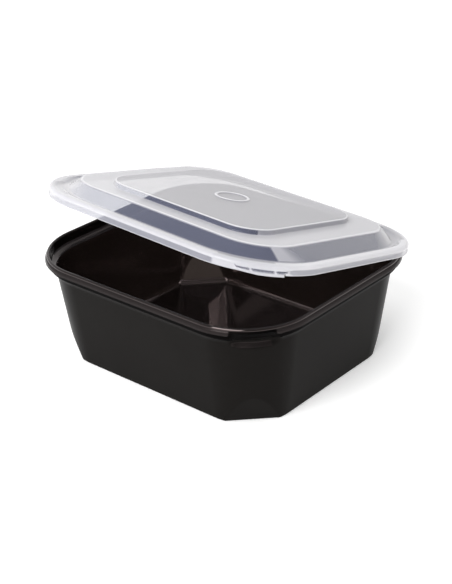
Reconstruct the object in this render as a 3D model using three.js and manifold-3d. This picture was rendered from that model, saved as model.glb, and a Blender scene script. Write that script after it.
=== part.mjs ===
// Takeaway meal container: a moulded tub of black polypropylene and its translucent press-on lid.
// The lid is off its snap: one long side leans on the tub's far rim, and the near side stands up.
// Millimetres, +Z up. X runs along the long side, and the origin is the middle of the tub's underside.

import * as THREE from 'three';
import { mergeVertices } from 'three/addons/utils/BufferGeometryUtils.js';
import Module from 'manifold-3d';

const wasm = await Module();
wasm.setup();

// Driving dimensions of the tub
const rimLength = 132;
const rimWidth = 116;
const tubHeight = 47;
const rimCornerRadius = 30;
const wallInset = 3.75;
const wallDraft = 5.95;
const baseCornerRadius = 20.9;
const wallThickness = 0.8;
const baseRounding = 0.9;
const floorFillet = 3;
const flangeDrop = 3;

// Flat facets that cut the four corners down to an octagonal base
const baseChamfer = 16.4;
const facetSlope = 0.39;
const footSlope = 1.4;

// Finger recess under the rim at the front corner, in degrees round the corner's arc
const recessMiddle = -48;
const recessWidth = 24;
const recessHeight = 7.2;
const recessDepth = 1.5;
const flangeGapStart = -63;
const flangeGapEnd = -28;

// Driving dimensions of the lid
const lidThickness = 0.5;
const skirtOutset = 0.8;
const lidCornerRadius = 31.2;
const skirtHeight = 3.8;
const channelDrop = 0.75;
const crownRise = 4.45;
const panelRise = 2.1;

// Tear strip in the lid's skirt at the front corner, in degrees round the corner's arc
const stripStart = -60;
const stripEnd = -28;
const bridgePlaces = [-52, -34];
const bridgeWidth = 2.2;
const slotBottom = 1.75;
const slotTop = 2.45;

// How the lid leans: turns in degrees, and the shift of its far edge from the shut place
const leanAcross = 13.96;
const leanAlong = 1.87;
const leanTwist = -0.8;
const lidShift = [2, 0.55, -1.27];

// Fineness of the round corners
const cornerSteps = 10;

const halfLength = rimLength / 2;
const halfWidth = rimWidth / 2;

// One level of a shell: a rounded rectangle, set in from the rim by different amounts along X and Y
function ring(insetX, insetY, radius, z) {
  const a = halfLength - insetX;
  const b = halfWidth - insetY;
  const points = [];
  const middles = [[a - radius, b - radius, 0], [radius - a, b - radius, 90],
    [radius - a, radius - b, 180], [a - radius, radius - b, 270]];
  for (const [x, y, start] of middles) {
    for (let i = 0; i <= cornerSteps; i += 1) {
      const angle = THREE.MathUtils.degToRad(start + (90 * i) / cornerSteps);
      points.push([x + radius * Math.cos(angle), y + radius * Math.sin(angle), z]);
    }
  }
  return points;
}

// A closed body through a row of levels, each end shut by a fan about its middle
function loft(rings) {
  const count = rings[0].length;
  const positions = rings.flat(2);
  const index = [];
  for (let level = 0; level + 1 < rings.length; level += 1) {
    for (let i = 0; i < count; i += 1) {
      const next = (i + 1) % count;
      const a = level * count + i;
      const b = level * count + next;
      index.push(a, b, b + count, a, b + count, a + count);
    }
  }
  const first = rings.length * count;
  const top = (rings.length - 1) * count;
  positions.push(0, 0, rings[0][0][2], 0, 0, rings[rings.length - 1][0][2]);
  for (let i = 0; i < count; i += 1) {
    const next = (i + 1) % count;
    index.push(first, next, i, first + 1, top + i, top + next);
  }
  const geometry = new THREE.BufferGeometry();
  geometry.setAttribute('position', new THREE.Float32BufferAttribute(positions, 3));
  geometry.setIndex(index);
  return geometry;
}

// From a closed three.js shape to a solid for cutting, and back
function solid(geometry) {
  const bare = geometry.clone();
  bare.deleteAttribute('normal');
  bare.deleteAttribute('uv');
  const merged = mergeVertices(bare, 1e-4);
  const vertProperties = new Float32Array(merged.attributes.position.array);
  const triVerts = new Uint32Array(merged.index.array);
  return new wasm.Manifold(new wasm.Mesh({ numProp: 3, vertProperties, triVerts }));
}

function shape(body) {
  const mesh = body.getMesh();
  const geometry = new THREE.BufferGeometry();
  geometry.setAttribute('position', new THREE.Float32BufferAttribute(mesh.vertProperties, 3));
  geometry.setIndex(Array.from(mesh.triVerts));
  geometry.computeVertexNormals();
  return geometry;
}

// A piece of a round band about a corner's middle, for gaps in a rim or a skirt
function arcBand(middle, inner, outer, start, end, bottom, top) {
  const [from, to] = [start, end].map(THREE.MathUtils.degToRad);
  const outline = new THREE.Shape();
  outline.absarc(0, 0, outer, from, to, false);
  outline.absarc(0, 0, inner, to, from, true);
  const geometry = new THREE.ExtrudeGeometry(outline, { depth: top - bottom, bevelEnabled: false, curveSegments: 6 });
  geometry.translate(middle[0], middle[1], bottom);
  return geometry;
}

// How far the tub's outer wall stands in from the rim, and how round its corners are, at a height
const flangeHeight = tubHeight - flangeDrop;

function wallInsetAt(z) {
  return wallInset + wallDraft * (1 - z / flangeHeight);
}

function wallRadiusAt(z) {
  return baseCornerRadius + (rimCornerRadius - wallInset - baseCornerRadius) * (z / flangeHeight);
}

function rimLevels(profile) {
  return profile.map(([inset, drop]) => ring(inset, inset, rimCornerRadius - inset, tubHeight - drop));
}

// Two levels of the tapered wall: near the base and just under the shoulder
const wallTop = tubHeight - 8.2;

function wallLevels(thickness, bottom) {
  return [bottom, wallTop].map((z) => {
    const inset = wallInsetAt(z) + thickness;
    return ring(inset, inset, wallRadiusAt(z) - thickness, z);
  });
}

// A large block whose inner face cuts one corner: it leans out by a slope from a reach at a height
function cornerBlock(signX, signY, slope, reach, height) {
  const size = 90;
  const block = new THREE.BoxGeometry(size, size, size);
  block.translate(size / 2, 0, 0);
  block.rotateY(Math.atan(slope));
  block.translate(reach, 0, height);
  block.rotateZ(Math.atan2(signY, signX));
  return block;
}

// Each corner gets its facet and, along the facet's foot, the base's rounding as a narrow bevel
function cutFacets(body, thickness, rounding) {
  const inset = wallInset + wallDraft;
  const reach = (halfLength + halfWidth - 2 * inset - baseChamfer) / Math.SQRT2;
  const inward = thickness * Math.hypot(1, facetSlope);
  const footReach = reach - inward + facetSlope * (thickness + rounding);
  let cut = body;
  for (const signX of [1, -1]) {
    for (const signY of [1, -1]) {
      cut = cut.subtract(solid(cornerBlock(signX, signY, facetSlope, reach - inward, 0)));
      cut = cut.subtract(solid(cornerBlock(signX, signY, footSlope, footReach, thickness + rounding)));
    }
  }
  return cut;
}

// The finger recess is a flattened ball sunk in the corner below the shoulder
function recessBall(extra) {
  const ball = new THREE.SphereGeometry(1, 24, 12);
  ball.scale(recessDepth + extra, recessWidth / 2 + extra, recessHeight / 2 + extra);
  const z = tubHeight - 6.3;
  const radius = wallRadiusAt(z);
  const inset = wallInsetAt(z);
  const angle = THREE.MathUtils.degToRad(recessMiddle);
  ball.translate(radius, 0, 0);
  ball.rotateZ(angle);
  ball.translate(halfLength - inset - radius, radius + inset - halfWidth, z);
  return ball;
}

function makeTub() {
  // Inset from the rim and drop below it, from the wall's top out to the flange and over the bead
  const drop = flangeDrop;
  const outerRim = [[4.0, 7.0], [3.2, 6.4], [2.1, 5.7], [1.7, 5.0], [1.6, 2.3], [1.45, 1.8],
    [0.95, 1.8], [0.8, 2.2], [0.7, drop - 0.05], [0.4, drop + 0.1], [0.1, drop], [0, drop - 0.25],
    [0.12, 2.0], [0.36, 1.4], [0.62, 1.1], [0.82, 0.95], [0.8, 0.5], [0.98, 0.15], [1.3, 0]];
  const innerRim = [[4.9, 5.9], [4.4, 5.35], [3.0, 4.75], [2.6, 4.4], [2.35, 3.9], [2.2, 0.8], [2.05, 0.25],
    [1.75, 0], [1.7, -1]];
  const rounding = [[1, 0], [0.42, 0.25], [0.1, 0.62]].map(([inset, rise]) => {
    const z = baseRounding * rise;
    const total = wallInsetAt(z) + baseRounding * inset;
    return ring(total, total, wallRadiusAt(z) - baseRounding * inset, z);
  });
  const fillet = [0, 30, 60].map((degrees) => {
    const angle = THREE.MathUtils.degToRad(degrees);
    const z = wallThickness + floorFillet * (1 - Math.cos(angle));
    const inward = floorFillet * (1 - Math.sin(angle)) + wallThickness;
    return ring(wallInsetAt(z) + inward, wallInsetAt(z) + inward, wallRadiusAt(z) - inward, z);
  });
  const outside = loft([...rounding, ...wallLevels(0, baseRounding), ...rimLevels(outerRim)]);
  const inside = loft([...fillet, ...wallLevels(wallThickness, wallThickness + floorFillet), ...rimLevels(innerRim)]);
  const middle = [halfLength - rimCornerRadius, rimCornerRadius - halfWidth];
  const gap = arcBand(middle, rimCornerRadius - 1.15, rimCornerRadius + 1, flangeGapStart, flangeGapEnd,
    tubHeight - 4, tubHeight - 1.6);
  const shell = cutFacets(solid(outside), 0, baseRounding).subtract(solid(recessBall(0))).subtract(solid(gap));
  const cavity = cutFacets(solid(inside), wallThickness, floorFillet / 2).subtract(solid(recessBall(wallThickness)));
  return shell.subtract(cavity);
}

// Moves each point of a profile to its inner side by the lid's thickness
function undersideOf(profile) {
  return profile.map(([inset, z, extraY, radius], i) => {
    const before = profile[Math.max(i - 1, 0)];
    const after = profile[Math.min(i + 1, profile.length - 1)];
    const along = new THREE.Vector2(after[0] - before[0], after[1] - before[1]).normalize();
    return [inset + along.y * lidThickness, z - along.x * lidThickness, extraY, radius - along.y * lidThickness];
  });
}

function lidLevels(profile) {
  return profile.map(([inset, z, extraY, radius]) => ring(inset, inset + extraY, radius, z));
}

function makeLid() {
  // Inset along X, height, what the inset along Y has more, and corner radius, from the skirt inwards
  const channel = skirtHeight - channelDrop;
  const crown = channel + crownRise;
  const panel = crown + panelRise;
  const out = -skirtOutset;
  const around = (inset) => lidCornerRadius - inset;
  const profile = [[out, 0, 0, around(out)], [out, 0.5, 0, around(out)], [out + 0.25, 0.8, 0, around(out + 0.25)],
    [out + 0.25, 1.9, 0, around(out + 0.25)], [out, 2.1, 0, around(out)], [out + 0.1, 2.8, 0, around(out + 0.1)],
    [out + 0.4, 3.3, 0, around(out + 0.4)], [0.15, skirtHeight - 0.15, 0, around(0.15)],
    [0.8, skirtHeight, 0, around(0.8)], [2.1, skirtHeight, 0.5, 30], [2.7, skirtHeight - 0.2, 1.0, 30.5],
    [3.2, channel + 0.1, 1.5, 31], [3.8, channel, 1.7, 32], [4.5, channel + 0.3, 1.6, 31.5],
    [11.8, crown - 0.35, 0.5, 18.5], [12.6, crown, 0.4, 17.6], [24.6, crown + 0.05, -3.2, 14.1],
    [24.8, crown + 0.3, -3.2, 13.9], [24.9, panel - 0.3, -3.2, 13.8], [25.2, panel, -3.2, 13.5]];
  const under = undersideOf(profile);
  under[0] = [out + lidThickness, 0, 0, around(out + lidThickness)];
  const shell = loft([...lidLevels(under).reverse(), ...lidLevels(profile)]);
  return cutStrip(solid(shell));
}

// The tear strip hangs under two slots on narrow bridges, and its right end is free
function cutStrip(body) {
  const middle = [halfLength - lidCornerRadius, lidCornerRadius - halfWidth];
  const radius = lidCornerRadius + skirtOutset;
  const half = THREE.MathUtils.radToDeg(bridgeWidth / 2 / radius);
  const starts = [stripStart, ...bridgePlaces.map((place) => place + half)];
  const ends = [...bridgePlaces.map((place) => place - half), stripEnd];
  let cut = body;
  for (let i = 0; i < starts.length; i += 1) {
    cut = cut.subtract(solid(arcBand(middle, radius - 2, radius + 1, starts[i], ends[i], slotBottom, slotTop)));
  }
  return cut.subtract(solid(arcBand(middle, radius - 2, radius + 1, stripEnd - 1, stripEnd, -1, slotTop)));
}

// The lid turns about the middle of its far edge, which lies at the rim's height
function leanLid(lid) {
  const hinge = new THREE.Group();
  const turnX = new THREE.Matrix4().makeRotationX(THREE.MathUtils.degToRad(-leanAcross));
  const turnY = new THREE.Matrix4().makeRotationY(THREE.MathUtils.degToRad(leanAlong));
  const turnZ = new THREE.Matrix4().makeRotationZ(THREE.MathUtils.degToRad(leanTwist));
  hinge.setRotationFromMatrix(turnZ.multiply(turnY).multiply(turnX));
  hinge.position.set(lidShift[0], halfWidth + lidShift[1], tubHeight + lidShift[2]);
  lid.position.set(0, -halfWidth, 0);
  hinge.add(lid);
  return hinge;
}

const blackPlastic = new THREE.MeshStandardMaterial({ color: '#1c1b1a', roughness: 0.32, metalness: 0 });
const clearPlastic = new THREE.MeshStandardMaterial({ color: '#e6e8ea', roughness: 0.3, metalness: 0,
  transparent: true, opacity: 0.55 });

const tub = new THREE.Mesh(shape(makeTub()), blackPlastic);
tub.name = 'tub';

const lid = new THREE.Mesh(shape(makeLid()), clearPlastic);
lid.name = 'lid';

const group = new THREE.Group();
group.add(tub);
group.add(leanLid(lid));

export default group;
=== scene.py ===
# %% [markdown]
# # A takeaway meal container
# A black moulded tub stands open, and its milky see-through lid leans on the tub's far rim. Both are
# polypropylene, but they look nothing alike: the tub is deep black, glossy inside and dull outside, and the
# lid lets the tub show through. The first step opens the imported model, which fixes every size and place.

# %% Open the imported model
import math

import bmesh
import bpy
from mathutils import Matrix, Vector


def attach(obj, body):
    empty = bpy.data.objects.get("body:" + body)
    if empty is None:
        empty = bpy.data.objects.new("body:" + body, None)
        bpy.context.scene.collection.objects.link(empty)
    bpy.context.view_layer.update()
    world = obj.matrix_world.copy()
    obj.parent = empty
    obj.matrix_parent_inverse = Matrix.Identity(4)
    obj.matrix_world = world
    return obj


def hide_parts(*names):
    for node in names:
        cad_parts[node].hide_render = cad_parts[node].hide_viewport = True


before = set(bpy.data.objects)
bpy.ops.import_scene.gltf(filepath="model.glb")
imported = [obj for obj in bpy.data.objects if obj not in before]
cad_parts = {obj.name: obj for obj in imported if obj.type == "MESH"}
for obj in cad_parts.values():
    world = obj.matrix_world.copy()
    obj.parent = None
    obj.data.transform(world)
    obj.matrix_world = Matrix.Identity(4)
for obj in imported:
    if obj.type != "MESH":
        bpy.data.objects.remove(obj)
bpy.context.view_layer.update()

print("nodes in the frame:", sorted(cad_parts))

# %% [markdown]
# ## Sizes
# The numbers are millimetres, because that is how a mould maker thinks, and each mesh is brought down
# to Blender's metres once it is finished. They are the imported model's sizes, apart from a few roundings
# and small depths that were brought nearer to the photograph afterwards.

# %% Sizes of the rim, and the corners
RIM_LENGTH = 132.0
RIM_WIDTH = 116.0
TUB_HEIGHT = 47.0
RIM_RADIUS = 30.0
WALL = 0.8
CORNER_STEPS = 48
CORNERS = [(1, 1), (-1, 1), (-1, -1), (1, -1)]
MILLIMETRE = 0.001
print("rim", RIM_LENGTH, "by", RIM_WIDTH, "mm,", 4 * CORNER_STEPS, "steps round the corners")

# %% [markdown]
# ## Levels of a moulding
# A tub or a lid is a stack of rounded rectangles. A level is an inset from the rim along X and along Y, a
# radius and a height. The first one is a plain square whose four corners a vertex bevel rounds, so every
# corner gets evenly spaced points on a true arc.

# %% The first level
def corner_middle(level):
    """The point that the level's arc at the +X, +Y corner turns about."""
    inset_x, inset_y, radius, z = level
    return Vector((RIM_LENGTH / 2 - inset_x - radius, RIM_WIDTH / 2 - inset_y - radius, z))


def first_plate(bm, level):
    """One flat face with the level's outline."""
    inset_x, inset_y, radius, z = level
    corners = bmesh.ops.create_grid(bm, x_segments=1, y_segments=1, size=1)["verts"]
    half = (RIM_LENGTH / 2 - inset_x, RIM_WIDTH / 2 - inset_y, 1)
    bmesh.ops.scale(bm, vec=half, verts=corners)
    bmesh.ops.translate(bm, vec=(0, 0, z), verts=corners)
    bmesh.ops.bevel(bm, geom=corners, offset=radius, offset_type="OFFSET", segments=CORNER_STEPS,
                    profile=0.5, affect="VERTICES", material=-1)
    bm.faces.ensure_lookup_table()
    return bm.faces[0]


print("the rim's corners turn about", corner_middle((0, 0, RIM_RADIUS, TUB_HEIGHT)).to_tuple(1))

# %% [markdown]
# ## From one level to the next
# The face is extruded again and again, and each time the four arcs are scaled about their own middles and
# moved, so that the corners get the radius of the new level while the long sides stay straight. Scaling
# the whole face would be shorter, but then a smaller level would have smaller corners too.

# %% Pull the skin through the levels
def pull_to(bm, cap, old, new):
    """Extrudes the cap from its old level to the new one, and gives back the new cap."""
    cap = bmesh.ops.extrude_discrete_faces(bm, faces=[cap])["faces"][0]
    growth = new[2] / old[2]
    for sign_x, sign_y in CORNERS:
        to_corner = Vector((sign_x, sign_y, 1))
        arc = [v for v in cap.verts if v.co.x * sign_x > 0 and v.co.y * sign_y > 0]
        before = corner_middle(old) * to_corner
        after = corner_middle(new) * to_corner
        bmesh.ops.scale(bm, vec=(growth, growth, 1), space=Matrix.Translation(-before), verts=arc)
        bmesh.ops.translate(bm, vec=after - before, verts=arc)
    return cap


def stack(levels):
    """The skin through all levels and its last face. The first face goes when it is extruded."""
    bm = bmesh.new()
    cap = first_plate(bm, levels[0])
    for old, new in zip(levels, levels[1:]):
        cap = pull_to(bm, cap, old, new)
    return bm, cap


def close_foot(bm):
    """Fills the open end of a skin with one flat face."""
    bmesh.ops.edgeloop_fill(bm, edges=[e for e in bm.edges if e.is_boundary])


# %% [markdown]
# ## The tub's wall
# The tub has two skins. The outside runs from the flat base up the wall, over the shoulder and the flange
# to the top of the bead. The inside runs from the floor up to the same bead. The wall widens evenly on the
# way up, so two levels would do for it, but the finger recess needs points to press in, and a few close
# levels near the top give it those.

# %% Levels of the wall
FLANGE_HEIGHT = 44.0
BASE_INSET = 9.7
TOP_INSET = 3.75
BASE_RADIUS = 20.9
FINE_FROM = 35.2
FINE_STEP = 0.6
FINE_COUNT = 8


def wall_level(z, inward=0.0):
    share = z / FLANGE_HEIGHT
    inset = BASE_INSET + (TOP_INSET - BASE_INSET) * share + inward
    radius = BASE_RADIUS + (RIM_RADIUS - TOP_INSET - BASE_RADIUS) * share - inward
    return (inset, inset, radius, z)


def rim_level(inset, drop):
    return (inset, inset, RIM_RADIUS - inset, TUB_HEIGHT - drop)


fine_heights = [FINE_FROM + FINE_STEP * i for i in range(FINE_COUNT)]
print("close levels from", FINE_FROM, "to", round(fine_heights[-1], 1), "mm")

# %% [markdown]
# ## The tub's rim
# Each pair is an inset from the flange's edge and a drop from the top of the bead. The outer outline goes
# over the shoulder, up the stacking groove, out under the flange, round its edge and up the bead, which has
# a narrow flat that takes the highlight. The two skins are made apart, because each gets its own flat
# facets at the corners.

# %% Make the two skins
outer_rim = [
    (4.0, 7.0), (3.62, 6.75), (3.2, 6.4), (2.62, 6.02), (2.1, 5.7), (1.82, 5.4), (1.7, 5.0), (1.65, 3.7),
    (1.6, 2.3), (1.45, 1.8), (0.95, 1.8), (0.8, 2.2), (0.7, 2.95), (0.58, 3.06), (0.4, 3.1), (0.22, 3.07),
    (0.1, 3.0), (0.03, 2.89), (0, 2.75), (0.04, 2.35), (0.12, 2.0), (0.22, 1.68), (0.36, 1.4), (0.5, 1.22),
    (0.62, 1.1), (0.74, 1.0), (0.82, 0.88), (0.79, 0.7), (0.78, 0.56), (0.82, 0.45), (1.12, 0.04), (1.3, 0)]
inner_rim = [
    (4.9, 5.9), (4.72, 5.6), (4.4, 5.35), (3.6, 4.98), (3.0, 4.75), (2.77, 4.6), (2.6, 4.4), (2.45, 4.15),
    (2.35, 3.9), (2.28, 2.4), (2.2, 0.8), (2.15, 0.5), (2.05, 0.25), (1.92, 0.08), (1.75, 0)]
outer_levels = [wall_level(0)]
outer_levels += [wall_level(z) for z in fine_heights[:-1]]
outer_levels += [rim_level(*pair) for pair in outer_rim]
inner_levels = [wall_level(WALL, WALL)]
inner_levels += [wall_level(z, WALL) for z in fine_heights]
inner_levels += [rim_level(*pair) for pair in inner_rim]


def open_skin(levels):
    """A skin with a closed foot and an open top."""
    bm, top = stack(levels)
    close_foot(bm)
    bmesh.ops.delete(bm, geom=[top], context="FACES_ONLY")
    return bm


outside = open_skin(outer_levels)
inside = open_skin(inner_levels)
print("outside", len(outside.faces), "faces, inside", len(inside.faces), "faces")

# %% [markdown]
# ## Flat facets at the corners
# Near the base each round corner is cut down to a flat facet that leans outwards, so the tub stands on an
# octagon. A plane cuts the corner off with bisect_plane, the hole is filled with one flat face, and its
# edges are bevelled, as the edges of a mould are never sharp.

# %% Cut the facets outside
FACET_SLOPE = 0.39
BASE_CHAMFER = 16.4
OUTER_TRIM = 0.2
BASE_ROUNDING = 0.6
ON_PLANE = 1e-5
SAME_HEIGHT = 1e-3
FACET_REACH = (RIM_LENGTH / 2 + RIM_WIDTH / 2 - 2 * BASE_INSET - BASE_CHAMFER) / math.sqrt(2)


def cut_facets(bm, reach):
    """Cuts all four corners, whose facets stand at the reach from the middle where z is 0."""
    facets = []
    for sign_x, sign_y in CORNERS:
        out = Vector((sign_x, sign_y, 0)).normalized()
        lean = (out - Vector((0, 0, FACET_SLOPE))).normalized()
        everything = bm.verts[:] + bm.edges[:] + bm.faces[:]
        cut = bmesh.ops.bisect_plane(bm, geom=everything, dist=ON_PLANE, plane_co=out * reach,
                                     plane_no=lean, clear_outer=True)
        border = [e for e in cut["geom_cut"] if isinstance(e, bmesh.types.BMEdge)]
        facets += bmesh.ops.holes_fill(bm, edges=border, sides=0)["faces"]
    return facets


def flat_at(bm, z):
    return [f for f in bm.faces if all(abs(v.co.z - z) < SAME_HEIGHT for v in f.verts)]


def round_edges(bm, edges, offset, segments):
    bmesh.ops.bevel(bm, geom=list(edges), offset=offset, offset_type="OFFSET", segments=segments,
                    profile=0.5, affect="EDGES", material=-1, clamp_overlap=False)


facets = cut_facets(outside, FACET_REACH - OUTER_TRIM)
rounded = {e for f in facets + flat_at(outside, 0) for e in f.edges}
round_edges(outside, rounded, BASE_ROUNDING, 3)
print("facets cut, base rounded:", len(outside.faces), "faces outside")

# %% [markdown]
# ## The same facets inside
# The inner facets lie a wall's thickness further in, measured across the slope. The floor meets the wall
# and the facets in a wide fillet, which keeps food out of the corners. The facets' arches are rounded
# first and the foot second, so that the fillet runs past the arches' ends.

# %% Cut the facets inside and round the floor
FACET_SOFTNESS = 0.8
INNER_TRIM = 0.7
FLOOR_FILLET = 2.4
facets = cut_facets(inside, FACET_REACH - INNER_TRIM - WALL * math.hypot(1, FACET_SLOPE))
foot = {e for f in flat_at(inside, WALL) for e in f.edges}
arches = {e for f in facets for e in f.edges} - foot
round_edges(inside, arches, FACET_SOFTNESS, 2)
foot = {e for f in flat_at(inside, WALL) for e in f.edges}
round_edges(inside, foot, FLOOR_FILLET, 6)
print("facets cut, floor rounded:", len(inside.faces), "faces inside")

# %% [markdown]
# ## One closed moulding
# Both skins end in a ring on top of the bead, with the same number of points. They are put in one mesh,
# and bridge_loops fills the narrow band between the rings. A Solidify modifier would be shorter, but it
# would give the rim and the facets the same outline inside and outside, which they don't have.

# %% Join the two skins along the bead
def joined(first, second):
    """Both meshes in the first one, and the second one is freed."""
    kept = bpy.data.meshes.new("second_skin")
    second.to_mesh(kept)
    second.free()
    first.from_mesh(kept)
    bpy.data.meshes.remove(kept)
    return first


tub = joined(outside, inside)
bmesh.ops.bridge_loops(tub, edges=[e for e in tub.edges if e.is_boundary])
bmesh.ops.recalc_face_normals(tub, faces=tub.faces[:])
print("open edges left:", sum(e.is_boundary for e in tub.edges))

# %% [markdown]
# ## The finger recess
# At one corner the flange stops for a stretch, and the wall under it is pressed in, so that a fingertip
# can get under the lid. The mesh is fine enough there to move its points: the wall's two skins go inwards
# together, to a flat bottom with steep ends and a sloping ledge below. The flange's lower points are lifted
# to the bead, and towards the gap's two ends they are lifted less and less, so that it tapers off.

# %% Press the recess in
RECESS_ANGLE = -43.5
RECESS_HALF_WIDTH = 10.2
RECESS_HALF_HEIGHT = 3.7
RECESS_DEPTH = 2.0
RECESS_HEIGHT = 40.6
RECESS_FILL, RECESS_EASE = 1.2, 0.8
GAP_START, GAP_END = -66.0, -25.5
GAP_TAPER = 6.0
GAP_CEILING = 45.4
GAP_INSET = 0.28
FLANGE_REACH = 1.15

recess_corner = corner_middle(rim_level(0, 0)) * Vector((1, -1, 0))


def pressed_share(along, up):
    """The share of the recess's depth at a place in it, where 1 and -1 are its edges."""
    room = 1 - along ** 4 - (up ** 4 if up > 0 else up ** 2)
    return min(1, RECESS_FILL * room ** RECESS_EASE) if room > 0 else 0


for v in tub.verts:
    arm = Vector((v.co.x - recess_corner.x, v.co.y - recess_corner.y))
    if v.co.z < RECESS_HEIGHT - RECESS_HALF_HEIGHT or arm.x < 0 or arm.y > 0:
        continue
    angle = math.degrees(math.atan2(arm.y, arm.x))
    along = math.radians(angle - RECESS_ANGLE) * arm.length / RECESS_HALF_WIDTH
    up = (v.co.z - RECESS_HEIGHT) / RECESS_HALF_HEIGHT
    pressed = pressed_share(along, up)
    if pressed > 0:
        shift = arm.normalized() * -RECESS_DEPTH * pressed
        bmesh.ops.translate(tub, vec=(shift.x, shift.y, 0), verts=[v])
    if GAP_START < angle < GAP_END and v.co.z < GAP_CEILING and arm.length > RIM_RADIUS - FLANGE_REACH:
        share = min(1, (angle - GAP_START) / GAP_TAPER, (GAP_END - angle) / GAP_TAPER)
        v.co.z += (GAP_CEILING - v.co.z) * share
        inner = min(arm.length, RIM_RADIUS - GAP_INSET) / arm.length
        v.co.xy = recess_corner.xy + arm * (1 + (inner - 1) * share)
print("recess pressed in at", RECESS_ANGLE, "degrees")

# %% [markdown]
# ## Putting a piece in the scene
# A finished mesh goes from millimetres to metres, becomes an object at the origin, and is tied to the
# imported model: it rides on the body, stands for its node and gets the materials it is given.
# Weighted normals keep the large flat faces flat, so that only the rounded edges catch the light.

# %% Finish a piece
FLAT_FACE_WEIGHT = 60


def finish_piece(bm, name, node, materials):
    bmesh.ops.scale(bm, vec=(MILLIMETRE,) * 3, verts=bm.verts[:])
    for face in bm.faces:
        face.smooth = True
    mesh = bpy.data.meshes.new(name)
    bm.to_mesh(mesh)
    bm.free()
    piece = bpy.data.objects.new(name, mesh)
    bpy.context.scene.collection.objects.link(piece)
    for material in materials:
        mesh.materials.append(material)
    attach(piece, "root")
    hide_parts(node)
    return piece


def add_weighted_normals(piece):
    modifier = piece.modifiers.new("flat faces stay flat", "WEIGHTED_NORMAL")
    modifier.weight = FLAT_FACE_WEIGHT
    modifier.keep_sharp = False


# %% [markdown]
# ## Colours and nodes
# Colours are written as sRGB hex values, as a colour picker shows them, and one function turns them to
# the linear values that Blender works with. One more function adds a node with its settings and links.

# %% Helpers for materials
def linear(code):
    parts = [int(code[i:i + 2], 16) / 255 for i in (1, 3, 5)]
    return tuple(c / 12.92 if c <= 0.04045 else ((c + 0.055) / 1.055) ** 2.4 for c in parts) + (1.0,)


def add_node(tree, kind, settings=None, inputs=None):
    """Adds one node. An input is a value, or the output socket of another node to link it to."""
    node = tree.nodes.new(kind)
    for name, value in (settings or {}).items():
        setattr(node, name, value)
    for name, value in (inputs or {}).items():
        if isinstance(value, bpy.types.NodeSocket):
            tree.links.new(value, node.inputs[name])
        else:
            node.inputs[name].default_value = value
    return node


def new_material(name):
    material = bpy.data.materials.new(name)
    material.use_nodes = True
    material.node_tree.nodes.clear()
    return material, material.node_tree


print("a middle grey, #808080, is", round(linear("#808080")[0], 3), "in linear light")

# %% [markdown]
# ## Six finishes of one black plastic, two of them painted shade and one partly painted sheen
# The tub is injection moulded from polypropylene coloured with carbon black. The half of the mould that
# shapes the inside and the bead is polished, so highlights there are clear. The outside comes from a finely
# textured half and is dull. The flange's edge lies between the two in gloss, and its lighter tone is painted
# sheen. The undercut below it gets hardly any light, and its finish is painted shade: a near-black copy of
# the plastic. The floor inside is painted shade too, a darker copy of the polished plastic for the lid's
# shade on it. A face's height, and the side that it looks to, say which finish it has.

# %% Where each finish is
POLISHED, TEXTURED, BEAD, LIP_PAINTED_SHEEN, PAINTED_SHADE_UNDERCUT, PAINTED_SHADE_FLOOR = range(6)
BEAD_FOOT = TUB_HEIGHT - 0.9
LIP_FOOT = TUB_HEIGHT - 2.8
SHOULDER_TOP = TUB_HEIGHT - 6.7
INNER_SHOULDER = TUB_HEIGHT - 6.2
# Above this height the faces under the finger gap get the near-black painted shade.
GAP_SHADE = TUB_HEIGHT - 5.8
PAINTED_LIGHT_LEDGE_FACING = 0.2
FLOOR_TOP = WALL + 0.1


# Painted shade: the floor inside gets a darker copy of the polished plastic, for the lid's shade on it.
def inner_finish(height):
    if height > INNER_SHOULDER:
        return BEAD
    return PAINTED_SHADE_FLOOR if height < FLOOR_TOP else POLISHED


def is_under_gap(centre):
    arm = centre.xy - recess_corner.xy
    angle = math.degrees(math.atan2(arm.y, arm.x))
    in_gap = arm.x > 0 > arm.y and GAP_START + GAP_TAPER / 2 < angle < GAP_END - GAP_TAPER / 2
    return in_gap and centre.z > RECESS_HEIGHT - RECESS_HALF_HEIGHT


def finish_of(face):
    centre = face.calc_center_median()
    if centre.z > BEAD_FOOT:
        return BEAD
    outward = Vector((centre.x / RIM_LENGTH, centre.y / RIM_WIDTH, 0))
    if face.normal.dot(outward) <= 0 and centre.z > WALL / 2:
        return inner_finish(centre.z)
    # In the finger gap, faces that look up get the lip's lighter tone: painted light on the ledge.
    if is_under_gap(centre):
        painted_light_ledge_finish = LIP_PAINTED_SHEEN if face.normal.z > PAINTED_LIGHT_LEDGE_FACING else TEXTURED
        return PAINTED_SHADE_UNDERCUT if centre.z > GAP_SHADE else painted_light_ledge_finish
    if centre.z > LIP_FOOT:
        return LIP_PAINTED_SHEEN
    return PAINTED_SHADE_UNDERCUT if centre.z > SHOULDER_TOP else TEXTURED


for face in tub.faces:
    face.material_index = finish_of(face)
print("textured faces:", sum(face.material_index == TEXTURED for face in tub.faces))

# %% [markdown]
# ## Black polypropylene
# The plastic flows and cools unevenly in the mould, which leaves its tone and its gloss a little cloudy,
# with a cloud about every 22 mm. The grain of the tool is a fine bump every 0.6 mm, drawn coarser than the
# real one so that it shows. Polypropylene's IOR is 1.49. The polished inside was matched to the photograph
# with a higher one and a full specular level, and all reflections are tinted slightly warm.

# %% Material of the tub
PLASTIC_IOR = 1.49
MATCHED_IOR = 1.57
CLOUDS_PER_METRE = 45.0
GRAINS_PER_METRE = 1600.0
GLOSS_CHANGE = 0.03


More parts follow.
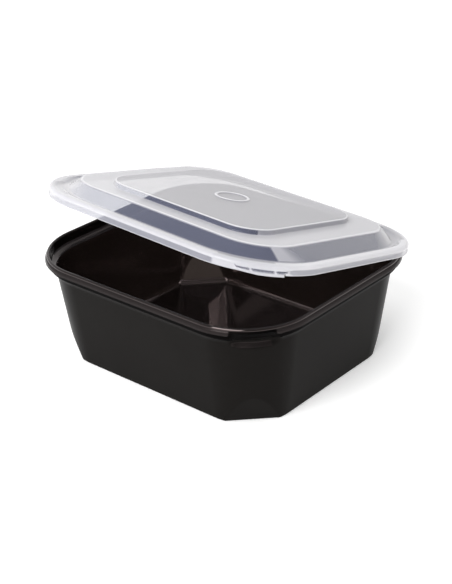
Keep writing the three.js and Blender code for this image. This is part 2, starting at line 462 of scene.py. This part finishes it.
def moulded_black(name, roughness, dull, bright, specular, ior=PLASTIC_IOR):
    """Black plastic between two tones, and specular is the strength of its reflections."""
    material, tree = new_material(name)
    place = add_node(tree, "ShaderNodeTexCoord").outputs["Object"]
    flow = add_node(tree, "ShaderNodeTexNoise", inputs={
        "Vector": place, "Scale": CLOUDS_PER_METRE, "Detail": 3.0})
    grain = add_node(tree, "ShaderNodeTexNoise", inputs={
        "Vector": place, "Scale": GRAINS_PER_METRE, "Detail": 2.0})
    tone = add_node(tree, "ShaderNodeMix", {"data_type": "RGBA"}, {
        "Factor": flow.outputs["Fac"], "A": linear(dull), "B": linear(bright)})
    gloss = add_node(tree, "ShaderNodeMapRange", inputs={
        "Value": flow.outputs["Fac"], "From Min": 0.3, "From Max": 0.7,
        "To Min": roughness, "To Max": roughness + GLOSS_CHANGE})
    bump = add_node(tree, "ShaderNodeBump", inputs={
        "Height": grain.outputs["Fac"], "Strength": 0.06, "Distance": 0.0001})
    shader = add_node(tree, "ShaderNodeBsdfPrincipled", inputs={
        "Base Color": tone.outputs["Result"], "Roughness": gloss.outputs["Result"], "IOR": ior,
        "Specular IOR Level": specular, "Specular Tint": linear("#ffeae8"),
        "Normal": bump.outputs["Normal"]})
    add_node(tree, "ShaderNodeOutputMaterial", inputs={"Surface": shader.outputs["BSDF"]})
    return material


tub_finishes = [
    moulded_black("black_polypropylene_polished", 0.07, "#1a1513", "#1f1917", 1.0, MATCHED_IOR),
    moulded_black("black_polypropylene_textured", 0.3, "#131211", "#191817", 0.03),
    moulded_black("black_polypropylene_bead", 0.06, "#0a0808", "#0d0b0b", 0.5),
    # The lip's gloss is its own. Its tone, lighter than the textured outside, is painted sheen.
    moulded_black("black_polypropylene_lip_painted_sheen", 0.2, "#1b1818", "#1f1c1c", 0.15),
    # Painted shade: a near-black copy of the plastic under the flange and at the top of the finger gap.
    moulded_black("black_polypropylene_painted_shade_undercut", 0.4, "#040404", "#060505", 0.02),
    # Painted shade: the floor's darker copy of the polished plastic.
    moulded_black("black_polypropylene_floor_painted_shade", 0.06, "#0b0908", "#0e0b0b", 1.0, MATCHED_IOR)]
tub_piece = finish_piece(tub, "tub_moulding", "tub", tub_finishes)
add_weighted_normals(tub_piece)
print("tub:", len(tub_piece.data.polygons), "faces")

# %% [markdown]
# ## The lid's skin
# The lid is the same kind of stack: the skirt with its step, the ridge over the tub's rim, the channel
# behind it, the sloping band, the crown and the raised panel. One skin is enough, and a Solidify modifier
# gives it its wall, because the lid is one thin even sheet. The first list has an inset and a height for
# each level. In the second one the inset along Y is larger by the second number, and the radius follows.

# %% Levels of the lid
LID_RADIUS = 31.2
OUT = -0.8
around_rim = [
    (OUT, 0), (OUT, 0.5), (OUT + 0.25, 0.8), (OUT + 0.25, 1.75), (OUT + 0.25, 1.9), (OUT, 2.1),
    (OUT + 0.03, 2.45), (OUT + 0.1, 2.8), (OUT + 0.22, 3.08), (OUT + 0.4, 3.3), (-0.15, 3.52),
    (0.15, 3.65), (0.45, 3.76), (0.8, 3.8)]
behind_rim = [
    (2.1, 0.5, 30, 3.8), (2.45, 0.7, 30.2, 3.75), (2.7, 1.0, 30.5, 3.6), (3.2, 1.5, 31, 3.15),
    (3.45, 1.6, 31.5, 3.06), (3.8, 1.7, 32, 3.05), (4.1, 1.66, 31.8, 3.15), (4.5, 1.6, 31.5, 3.35),
    (11.55, 0.52, 18.85, 7.02), (11.9, 0.48, 18.4, 7.2), (12.25, 0.44, 18.0, 7.36),
    (12.6, 0.4, 17.6, 7.45), (13.1, 0.3, 17.5, 7.5), (24.3, -3.15, 14.2, 7.53), (24.6, -3.2, 14.1, 7.6),
    (24.76, -3.2, 13.95, 7.75), (24.82, -3.2, 13.9, 8.0), (24.9, -3.2, 13.8, 9.1),
    (24.97, -3.2, 13.75, 9.35), (25.12, -3.2, 13.6, 9.53), (25.4, -3.2, 13.4, 9.6),
    (26.0, -3.2, 12.8, 9.62)]
lid_levels = [(inset, inset, LID_RADIUS - inset, z) for inset, z in around_rim]
lid_levels += [(inset, inset + more, radius, z) for inset, more, radius, z in behind_rim]


def face_upwards(bm, top):
    """Turns all faces so that the top one looks up."""
    bmesh.ops.recalc_face_normals(bm, faces=bm.faces[:])
    if top.normal.z < 0:
        bmesh.ops.reverse_faces(bm, faces=bm.faces[:])


lid, panel = stack(lid_levels)
face_upwards(lid, panel)
print("lid:", len(lid.faces), "faces on its outer skin")

# %% [markdown]
# ## A ring in the middle of the panel
# A plain shallow ring stiffens the middle of the panel, and it is the render's own design. The panel's
# flat face makes way for a circle with as many points as the panel's edge, bridge_loops fills the flat
# between the two, and the circle is then extruded up, in and down again, just as the levels were.

# %% Raise the ring
RING_RADIUS = 7.5
RING_STEPS = [(0.12, 0.28), (0.35, 0.4), (1.05, 0.4), (1.28, 0.28), (1.4, 0.0)]
PANEL_HEIGHT = lid_levels[-1][3]

edge = list(panel.edges)
bmesh.ops.delete(lid, geom=[panel], context="FACES_ONLY")
circle = bmesh.ops.create_circle(lid, cap_ends=True, segments=len(edge), radius=RING_RADIUS)["verts"]
bmesh.ops.translate(lid, vec=(0, 0, PANEL_HEIGHT), verts=circle)
disc = circle[0].link_faces[0]
bmesh.ops.bridge_loops(lid, edges=edge + list(disc.edges))
radius = RING_RADIUS
for inward, height in RING_STEPS:
    disc = bmesh.ops.extrude_discrete_faces(lid, faces=[disc])["faces"][0]
    shrink = (RING_RADIUS - inward) / radius
    radius = RING_RADIUS - inward
    bmesh.ops.scale(lid, vec=(shrink, shrink, 1), verts=disc.verts)
    for v in disc.verts:
        v.co.z = PANEL_HEIGHT + height
face_upwards(lid, disc)
print("ring:", 2 * RING_RADIUS, "mm across, raised", max(h for _, h in RING_STEPS), "mm")

# %% [markdown]
# ## Where the sheet turns white, and the light painted into it
# At its folds the sheet is seen edge on, and light that entered elsewhere comes out there, so the crown and
# the panel's edge are whiter than the flat parts: that glow is painted light, drawn as a whiter and more
# opaque tone. A number on each point of the mesh says how milky it is and how much painted light it has,
# and the material reads that number, which needs neither a picture nor a second material. A table has the
# number for each fold level's height, and the far side gets only a share of it, because the painted
# highlight stands for the front light that the near folds take. Another table has the heights of a slope,
# with its numbers at the corner and along the right side: painted light where the light falls on the right
# side.

# %% How milky the folds are
# Painted light at the folds: each fold level's height and how white and opaque it is drawn.
PAINTED_FOLD_LIGHT = {7.2: 0.8, 7.36: 1.0, 7.45: 1.0, 7.5: 0.66, 7.53: 0.66, 9.35: 0.8, 9.53: 1.0, 9.6: 1.0}
RING_MILKINESS, RING_FOOT = 1.0, 0.2
CHANNEL_TOP, CHANNEL_MILKINESS = 3.3, 0.3
FAR_SIDE, FAR_SHARE = 0.15, 0.45
# Painted light on the slopes that face right: heights, then the numbers at the corner and along the right
# side.
PAINTED_SIDE_LIGHT = ((3.3, 7.1, 0.67, 0.11), (7.55, 9.2, 0.52, 0.65))
SIDE_REACH, SIDE_RAMP = 34.0, 24.0

milkiness_and_painted_light = lid.verts.layers.float.new("milkiness_and_painted_light")


def inner_milkiness_and_painted_light(v):
    """How white the sheet is inside the rim, with painted light at its folds and on its right side."""
    z = v.co.z
    if z < CHANNEL_TOP:
        return CHANNEL_MILKINESS
    if z > PANEL_HEIGHT + RING_FOOT:
        return RING_MILKINESS
    for level, amount in PAINTED_FOLD_LIGHT.items():
        if abs(z - level) < SAME_HEIGHT:
            return amount * FAR_SHARE if v.normal.y > FAR_SIDE else amount
    turned = abs(math.degrees(math.atan2(v.normal.y, v.normal.x)))
    for low, high, at_corner, along_side in PAINTED_SIDE_LIGHT:
        if low < z < high and turned < SIDE_REACH:
            return along_side + (at_corner - along_side) * min(1, turned / SIDE_RAMP)
    return 0.0


print("milky levels:", len(PAINTED_FOLD_LIGHT), "of", len(lid_levels))

# %% [markdown]
# ## How white the skirt is
# The skirt and the ridge over the rim are milky too, apart from the recessed band, which is clearer. On the
# right they are whiter, and that is painted light for the light coming through them from outside; towards
# the tear strip's corner it fades over a short way. Both end at RIDGE_REACH, measured inwards from the rim's
# outline.

# %% Mark all points of the lid
RIDGE_REACH = 2.75
CLEAR_BAND = (0.4, 2.2)
BAND_END = 40.7
RIGHT_BAND_START = -40.0
# On the right, the skirt's higher numbers are painted light.
BAND_MILKINESS, RIGHT_BAND_MILKINESS_AND_PAINTED_LIGHT = 0.42, 0.65
RIM_MILKINESS, CORNER_MILKINESS, RIGHT_RIM_MILKINESS_AND_PAINTED_LIGHT = 0.85, 0.8, 1.0
CORNER_END, CORNER_RAMP = -54.0, 22.0


def distance_in(point):
    over_x = abs(point.x) - (RIM_LENGTH / 2 - LID_RADIUS)
    over_y = abs(point.y) - (RIM_WIDTH / 2 - LID_RADIUS)
    if over_x > 0 and over_y > 0:
        return LID_RADIUS - math.hypot(over_x, over_y)
    return LID_RADIUS - max(over_x, over_y)


def skirt_milkiness(point):
    """How white the sheet is over the rim and outside it, with painted light on the right side."""
    in_band = CLEAR_BAND[0] < point.z < CLEAR_BAND[1]
    if point.x < BAND_END:
        return BAND_MILKINESS if in_band else RIM_MILKINESS
    if in_band and point.y > RIGHT_BAND_START:
        return RIGHT_BAND_MILKINESS_AND_PAINTED_LIGHT
    along = min(1, max(0, (point.y - CORNER_END) / CORNER_RAMP))
    return CORNER_MILKINESS + (RIGHT_RIM_MILKINESS_AND_PAINTED_LIGHT - CORNER_MILKINESS) * along


lid.normal_update()
for v in lid.verts:
    is_inside = distance_in(v.co) > RIDGE_REACH
    v[milkiness_and_painted_light] = inner_milkiness_and_painted_light(v) if is_inside else skirt_milkiness(v.co)
print("milky points:", sum(v[milkiness_and_painted_light] > 0 for v in lid.verts), "of", len(lid.verts))

# %% [markdown]
# ## The tear strip
# At the corner over the finger recess, a stretch of the skirt's lower edge hangs on narrow bridges between
# clear webs, and its end is free. Pulling the strip off frees the lid. The strip hangs a little lower than
# the edge beside it. The webs are points with little milkiness between the white bridges. Cutting them out
# is another way, but the photograph shows them closed and grey.

# %% Mark the webs and lower the strip
WEB_BOTTOM, WEB_TOP = 1.7, 2.2
WEB_SPANS = [(-62.0, -54.0), (-51.0, -36.5), (-34.5, -28.0)]
WEB_MILKINESS = 0.12
STRIP_START, STRIP_SLOPE, STRIP_END = -60.0, 14.0, -30.0
STRIP_DROP = 0.6
SKIRT_DEPTH = 0.5
ANGLE_SLACK = 0.2

lid_corner = corner_middle((0, 0, LID_RADIUS, 0)) * Vector((1, -1, 0))


def skirt_angle(point):
    """The point's angle round the tear strip's corner, or None where it isn't on that corner's skirt."""
    arm = point.xy - lid_corner.xy
    if arm.x < 0 or arm.y > 0 or arm.length < LID_RADIUS - SKIRT_DEPTH:
        return None
    return math.degrees(math.atan2(arm.y, arm.x))


for v in lid.verts:
    angle = skirt_angle(v.co)
    if angle is None:
        continue
    if WEB_BOTTOM < v.co.z < WEB_TOP and any(start < angle < end for start, end in WEB_SPANS):
        v[milkiness_and_painted_light] = WEB_MILKINESS
    if STRIP_START < angle < STRIP_END + ANGLE_SLACK and v.co.z < WEB_BOTTOM:
        v.co.z -= STRIP_DROP * min(1, (angle - STRIP_START) / STRIP_SLOPE)
print("strip lowered by", STRIP_DROP, "mm")

# %% [markdown]
# ## The strip's free end
# A narrow slit parts the free end from the skirt. It is cut by deleting its faces before the skin gets its
# thickness, so that its walls are clean, and then one side is turned by a degree to make it narrower. The
# webs are lowered last, with the edge of the step above them.

# %% Open the slit
SLIT_TOP = 0.9
SLIT_END = -28.125
SLIT_SHIFT = math.radians(1.0)
WEB_REACH, WEB_DROP = 0.4, 0.7

slit_side = []
for v in lid.verts:
    angle = skirt_angle(v.co)
    if angle is not None and v.co.z < SLIT_TOP and abs(angle - STRIP_END) < ANGLE_SLACK:
        slit_side.append(v)
slit = []
for face in lid.faces:
    centre = face.calc_center_median()
    angle = skirt_angle(centre)
    if angle is not None and centre.z < SLIT_TOP and STRIP_END < angle < SLIT_END:
        slit.append(face)
bmesh.ops.delete(lid, geom=slit, context="FACES")
bmesh.ops.rotate(lid, cent=lid_corner, matrix=Matrix.Rotation(SLIT_SHIFT, 3, "Z"), verts=slit_side)
for v in lid.verts:
    angle = skirt_angle(v.co)
    in_webs = angle is not None and WEB_SPANS[0][0] < angle < WEB_SPANS[-1][1]
    if in_webs and WEB_BOTTOM < v.co.z < WEB_TOP + WEB_REACH:
        v.co.z -= WEB_DROP
print("slit faces opened:", len(slit))

# %% [markdown]
# ## How the lid leans
# The lid turns about the middle of its far edge, which lies over the tub's far rim. The turn is made in the
# mesh itself, so the object stays unturned at the origin, as every finished piece here does.

# %% Lean the lid on the far rim
LEAN_ACROSS, LEAN_ALONG, LEAN_TWIST = -13.96, 1.87, -0.8
LID_SHIFT = Vector((2.0, 0.55, -1.27))
turn = Matrix.Identity(4)
for degrees, axis in ((LEAN_TWIST, "Z"), (LEAN_ALONG, "Y"), (LEAN_ACROSS, "X")):
    turn = turn @ Matrix.Rotation(math.radians(degrees), 4, axis)
far_edge = Vector((0, RIM_WIDTH / 2, 0))
far_rim = far_edge + Vector((0, 0, TUB_HEIGHT))
lean = Matrix.Translation(far_rim + LID_SHIFT) @ turn @ Matrix.Translation(-far_edge)
bmesh.ops.transform(lid, matrix=lean, verts=lid.verts[:])
print("lid leans", -LEAN_ACROSS, "degrees")

# %% [markdown]
# ## Natural polypropylene
# Without colour, polypropylene is milky: crystals in it scatter a part of the light. Looked at straight
# on, a half-millimetre sheet is mostly clear, and at a grazing angle the light's path through it is long
# and it turns white. A Layer Weight node gives that change, and it drives how opaque the sheet is. A milky
# point is whiter and more opaque. The opacity follows the square of its number, so that half-milky places
# stay clear. Uneven cooling leaves the sheet slightly wavy, with a wave about every 33 mm.

# %% Material of the lid
SHEET_IOR = 1.49
WAVES_PER_METRE = 30.0
GRAZING = {"From Min": 0.4, "From Max": 0.75}
CLEAR_OPACITY, GRAZING_OPACITY, MILKY_OPACITY = 0.4, 0.6, 0.9


def milky_sheet():
    material, tree = new_material("natural_polypropylene_sheet")
    place = add_node(tree, "ShaderNodeTexCoord").outputs["Object"]
    haze = add_node(tree, "ShaderNodeTexNoise", inputs={
        "Vector": place, "Scale": WAVES_PER_METRE, "Detail": 1.0})
    # The number is milkiness, and at the folds, on the right side and on the right skirt it is also painted
    # light: a whiter, more opaque tone.
    fold = add_node(tree, "ShaderNodeAttribute", {"attribute_name": "milkiness_and_painted_light"}).outputs["Fac"]
    facing = add_node(tree, "ShaderNodeLayerWeight", inputs={"Blend": 0.5}).outputs["Facing"]
    opacity = add_node(tree, "ShaderNodeMapRange", inputs={
        "Value": facing, **GRAZING, "To Min": CLEAR_OPACITY, "To Max": GRAZING_OPACITY})
    whitening = add_node(tree, "ShaderNodeMapRange", inputs={
        "Value": facing, **GRAZING, "To Min": 0.0, "To Max": 1.0})
    sheet_tone = add_node(tree, "ShaderNodeMix", {"data_type": "RGBA"}, {
        "Factor": whitening.outputs["Result"], "A": linear("#6f7388"), "B": linear("#bfbec2")})
    tone = add_node(tree, "ShaderNodeMix", {"data_type": "RGBA"}, {
        "Factor": fold, "A": sheet_tone.outputs["Result"], "B": linear("#d6d5d9")})
    squared_number = add_node(tree, "ShaderNodeMath", {"operation": "MULTIPLY"})
    for socket in squared_number.inputs[:2]:
        tree.links.new(fold, socket)
    alpha = add_node(tree, "ShaderNodeMix", {"data_type": "FLOAT"}, {
        "Factor": squared_number.outputs["Value"], "A": opacity.outputs["Result"], "B": MILKY_OPACITY})
    waves = add_node(tree, "ShaderNodeBump", inputs={
        "Height": haze.outputs["Fac"], "Strength": 0.1, "Distance": 0.0002})
    shader = add_node(tree, "ShaderNodeBsdfPrincipled", inputs={
        "Base Color": tone.outputs["Result"], "Roughness": 0.2, "IOR": SHEET_IOR,
        "Alpha": alpha.outputs["Result"], "Normal": waves.outputs["Normal"]})
    add_node(tree, "ShaderNodeOutputMaterial", inputs={"Surface": shader.outputs["BSDF"]})
    return material


LID_WALL = 0.5
lid_piece = finish_piece(lid, "lid_moulding", "lid", [milky_sheet()])
sheet = lid_piece.modifiers.new("sheet thickness", "SOLIDIFY")
sheet.thickness = LID_WALL * MILLIMETRE
sheet.offset = -1
sheet.use_even_offset = True
add_weighted_normals(lid_piece)
print("lid:", len(lid_piece.data.polygons), "faces before its wall")

# %% [markdown]
# ## The floor
# The container was photographed on a white sweep, a sheet of paper that is lit until it has no edge. A very
# large white floor does that here. It glows a little by itself, which takes the place of the light that a
# real sweep gets from the room, and keeps it white under the container too.

# %% Floor
SWEEP_HALF_SIZE = 12.0
SWEEP_GLOW = 0.23


def white_sweep():
    material, tree = new_material("white_paper_sweep")
    shader = add_node(tree, "ShaderNodeBsdfPrincipled", inputs={
        "Base Color": linear("#f7f7f7"), "Roughness": 0.8, "Emission Color": linear("#ffffff"),
        "Emission Strength": SWEEP_GLOW})
    add_node(tree, "ShaderNodeOutputMaterial", inputs={"Surface": shader.outputs["BSDF"]})
    return material


floor_bm = bmesh.new()
bmesh.ops.create_grid(floor_bm, x_segments=1, y_segments=1, size=SWEEP_HALF_SIZE)
floor_mesh = bpy.data.meshes.new("sweep")
floor_bm.to_mesh(floor_mesh)
floor_bm.free()
floor_mesh.materials.append(white_sweep())
floor = bpy.data.objects.new("sweep", floor_mesh)
bpy.context.scene.collection.objects.link(floor)
print("floor:", 2 * SWEEP_HALF_SIZE, "m wide")

# %% [markdown]
# ## The room
# A glossy black tub shows the room around it, so the world is more than one white. It is white behind the
# container, dimmer overhead, and greyer on the side behind the camera, where a room would be darker than
# the backdrop. Low down it stays white all round, so that no grey edge shows where the floor ends.

# %% World
BACKDROP, CEILING = 1.0, 0.6
CEILING_HEIGHTS = {"From Min": 0.3, "From Max": 0.7}
ROOM_SIDE = (0.79, -0.62, 0.0)
ROOM_REACH = {"From Min": 0.45, "From Max": 0.85}
ROOM_HEIGHTS = {"From Min": 0.05, "From Max": 0.2}


def white_studio():
    world = bpy.data.worlds.new("white studio")
    world.use_nodes = True
    tree = world.node_tree
    tree.nodes.clear()
    direction = add_node(tree, "ShaderNodeTexCoord").outputs["Generated"]
    height = add_node(tree, "ShaderNodeSeparateXYZ", inputs={"Vector": direction}).outputs["Z"]
    strength = add_node(tree, "ShaderNodeMapRange", inputs={
        "Value": height, **CEILING_HEIGHTS, "To Min": BACKDROP, "To Max": CEILING})
    side = add_node(tree, "ShaderNodeVectorMath", {"operation": "DOT_PRODUCT"})
    tree.links.new(direction, side.inputs[0])
    side.inputs[1].default_value = ROOM_SIDE
    room = add_node(tree, "ShaderNodeMapRange", inputs={"Value": side.outputs["Value"], **ROOM_REACH})
    above = add_node(tree, "ShaderNodeMapRange", inputs={
        "Value": height, **ROOM_HEIGHTS, "To Min": 0.0, "To Max": room.outputs["Result"]})
    colour = add_node(tree, "ShaderNodeMix", {"data_type": "RGBA"}, {
        "Factor": above.outputs["Result"], "A": linear("#ffffff"), "B": linear("#92908a")})
    light = add_node(tree, "ShaderNodeBackground", inputs={
        "Color": colour.outputs["Result"], "Strength": strength.outputs["Result"]})
    add_node(tree, "ShaderNodeOutputWorld", inputs={"Surface": light.outputs["Background"]})
    return world


bpy.context.scene.world = white_studio()
print("world:", bpy.context.scene.world.name)

# %% [markdown]
# ## The lights
# One broad soft light from the front, the key, draws the streak inside the tub and the highlight on its
# bead. A fill overhead lifts the shadows, and reflections leave it out, because it would turn the tub's
# black floor grey. The smallest one lies level in the tub under the lid, unseen: a milky sheet passes
# light down and spreads it, which alpha doesn't do, and this light stands for that. Cycles divides an area
# light's watts by four times its area, so the function takes a brightness and works out the watts.

# %% Softboxes
WATTS_SPREAD = 4


def soft_light(name, azimuth, elevation, distance, size, radiance, aim=(0, 0, 0.03)):
    """An area light that looks at the container, azimuth 0 being the front. White paper has radiance 1."""
    a, e = math.radians(azimuth), math.radians(elevation)
    direction = Vector((math.sin(a) * math.cos(e), -math.cos(a) * math.cos(e), math.sin(e)))
    data = bpy.data.lights.new(name, "AREA")
    data.shape = "RECTANGLE"
    data.size, data.size_y = size
    data.energy = WATTS_SPREAD * size[0] * size[1] * radiance
    light = bpy.data.objects.new(name, data)
    bpy.context.scene.collection.objects.link(light)
    light.location = direction * distance + Vector(aim)
    light.rotation_euler = direction.to_track_quat("Z", "Y").to_euler()
    return light


soft_light("key softbox", 7.5, 42, 1.2, (0.8, 0.5), 7.2)
overhead = soft_light("overhead fill", 0, 84, 2.0, (1.5, 1.5), 1.2)
lid_glow = soft_light("light through the lid", 0, 90, 0.02, (0.08, 0.05), 1.1, aim=(-0.01, 0.026, 0.029))
lid_glow.visible_camera = False
for light in (overhead, lid_glow):
    light.visible_glossy = False

# %% [markdown]
# ## Camera
# The camera's place was worked out from the edges of the tub in the photograph: it stands to the right of
# the front, looks down on the tub and is turned by a degree and a half. The tub's middle isn't the middle of
# the picture, and two small shifts in the picture's own directions put it in its place.

# %% Camera
AZIMUTH, ELEVATION, ROLL = 41.03, 26.63, -1.61
DISTANCE = 563.55
AIM_RIGHT, AIM_UP = 0.185, 23.19
LENS, SENSOR_WIDTH = 79.16, 36.0

azimuth, elevation, roll = (math.radians(a) for a in (AZIMUTH, ELEVATION, ROLL))
back = Vector((math.sin(azimuth) * math.cos(elevation), -math.cos(azimuth) * math.cos(elevation),
               math.sin(elevation)))
level_right = Vector((math.cos(azimuth), math.sin(azimuth), 0))
level_up = back.cross(level_right)
right = level_right * math.cos(roll) + level_up * math.sin(roll)
up = level_up * math.cos(roll) - level_right * math.sin(roll)
place = (back * DISTANCE + right * AIM_RIGHT + up * AIM_UP) * MILLIMETRE
camera_data = bpy.data.cameras.new("camera")
camera_data.lens = LENS
camera_data.sensor_width = SENSOR_WIDTH
camera = bpy.data.objects.new("camera", camera_data)
camera.matrix_world = Matrix.Translation(place) @ Matrix((right, up, back)).transposed().to_4x4()
bpy.context.scene.collection.objects.link(camera)
bpy.context.scene.camera = camera
bpy.context.scene.view_settings.view_transform = "Standard"
print("camera", round(DISTANCE), "mm away, looking down by", ELEVATION, "degrees")
